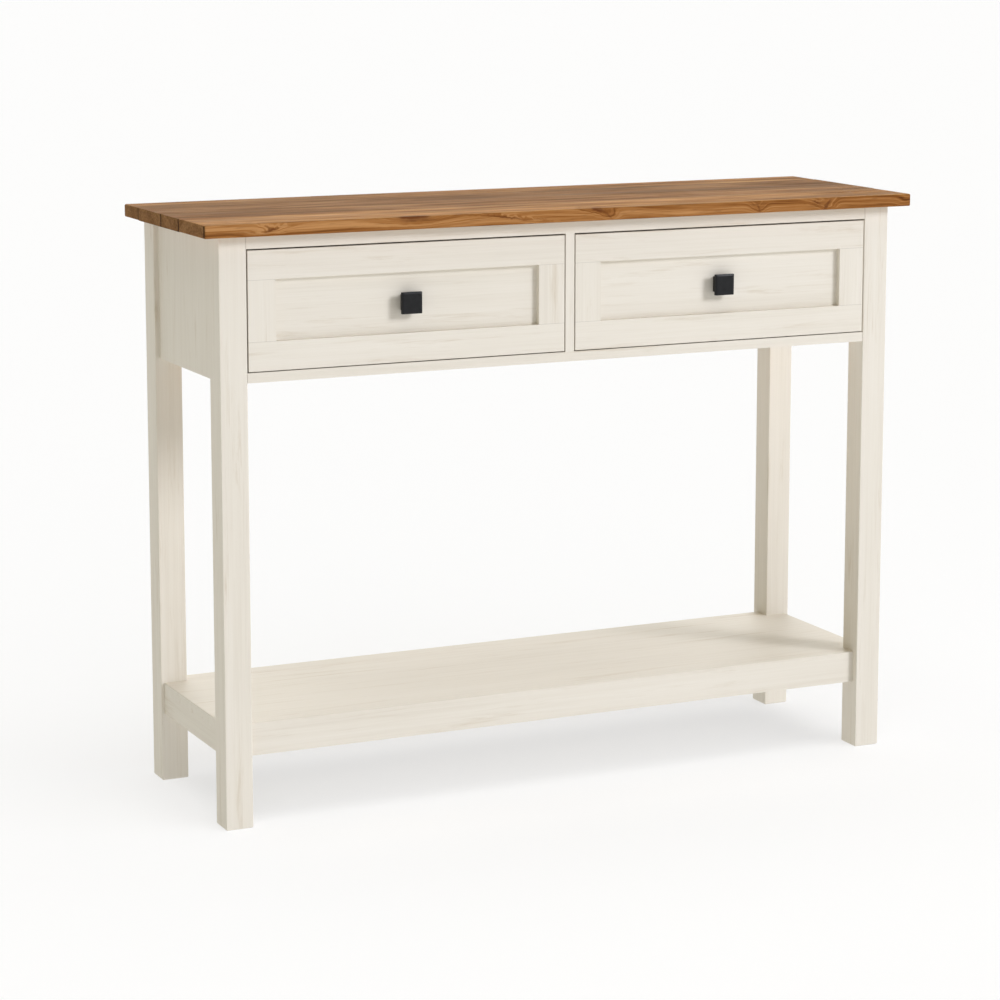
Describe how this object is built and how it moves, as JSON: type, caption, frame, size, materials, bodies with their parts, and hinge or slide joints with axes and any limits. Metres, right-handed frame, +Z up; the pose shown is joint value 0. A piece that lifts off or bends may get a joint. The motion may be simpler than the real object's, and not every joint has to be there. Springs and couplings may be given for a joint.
{
  "type": "console table",
  "caption": "Console table with a boarded wooden top, painted square-leg frame, low shelf and side-by-side sliding drawers.",
  "frame": {"origin": "on the floor under the middle of the table top, the middle of the bounding box's base", "axes": "+X along the table to the right as seen from the front, -Y towards the front, +Z up"},
  "size_m": [1.05, 0.325, 0.8],
  "materials": {
    "top_wood": "oiled hardwood, satin",
    "painted_wood": "off-white brushed paint, satin",
    "inner_wood": "bare planed softwood",
    "drawer_ply": "bare plywood",
    "knob_black": "black powder coat, satin",
    "screw_steel": "zinc plated"
  },
  "bodies": {
    "table": {"back_apron": "painted_wood", "drawer_divider": "painted_wood", "drawer_stops": "inner_wood", "front_bottom_rail": "painted_wood", "front_top_rail": "painted_wood", "guide_centre": "inner_wood", "guide_left": "inner_wood", "guide_right": "inner_wood", "kicker_centre": "inner_wood", "kicker_left": "inner_wood", "kicker_right": "inner_wood", "leg_back_left": "painted_wood", "leg_back_right": "painted_wood", "leg_front_left": "painted_wood", "leg_front_right": "painted_wood", "runner_centre": "inner_wood", "runner_left": "inner_wood", "runner_right": "inner_wood", "shelf_back_rail": "painted_wood", "shelf_front_rail": "painted_wood", "shelf_left_rail": "painted_wood", "shelf_panel": "painted_wood", "shelf_right_rail": "painted_wood", "shelf_screws": "screw_steel", "side_apron_left": "painted_wood", "side_apron_right": "painted_wood", "support_screws": "screw_steel", "top_board_1": "top_wood", "top_board_2": "top_wood", "top_board_3": "top_wood", "top_board_4": "top_wood", "top_screws": "screw_steel"},
    "drawer_left": {"drawer_left_box_back": "inner_wood", "drawer_left_box_bottom": "drawer_ply", "drawer_left_box_front": "inner_wood", "drawer_left_box_side_left": "inner_wood", "drawer_left_box_side_right": "inner_wood", "drawer_left_front_left_stile": "painted_wood", "drawer_left_front_lower_rail": "painted_wood", "drawer_left_front_panel": "painted_wood", "drawer_left_front_right_stile": "painted_wood", "drawer_left_front_upper_rail": "painted_wood", "drawer_left_knob": "knob_black", "drawer_left_knob_screw": "screw_steel", "drawer_left_screws": "screw_steel"},
    "drawer_right": {"drawer_right_box_back": "inner_wood", "drawer_right_box_bottom": "drawer_ply", "drawer_right_box_front": "inner_wood", "drawer_right_box_side_left": "inner_wood", "drawer_right_box_side_right": "inner_wood", "drawer_right_front_left_stile": "painted_wood", "drawer_right_front_lower_rail": "painted_wood", "drawer_right_front_panel": "painted_wood", "drawer_right_front_right_stile": "painted_wood", "drawer_right_front_upper_rail": "painted_wood", "drawer_right_knob": "knob_black", "drawer_right_knob_screw": "screw_steel", "drawer_right_screws": "screw_steel"}
  },
  "joints": [
    {"name": "drawer_left_slide", "type": "slide", "parent": "table", "child": "drawer_left", "axis": [0, -1, 0], "range_m": [0, 0.2]},
    {"name": "drawer_right_slide", "type": "slide", "parent": "table", "child": "drawer_right", "axis": [0, -1, 0], "range_m": [0, 0.2]}
  ]
}
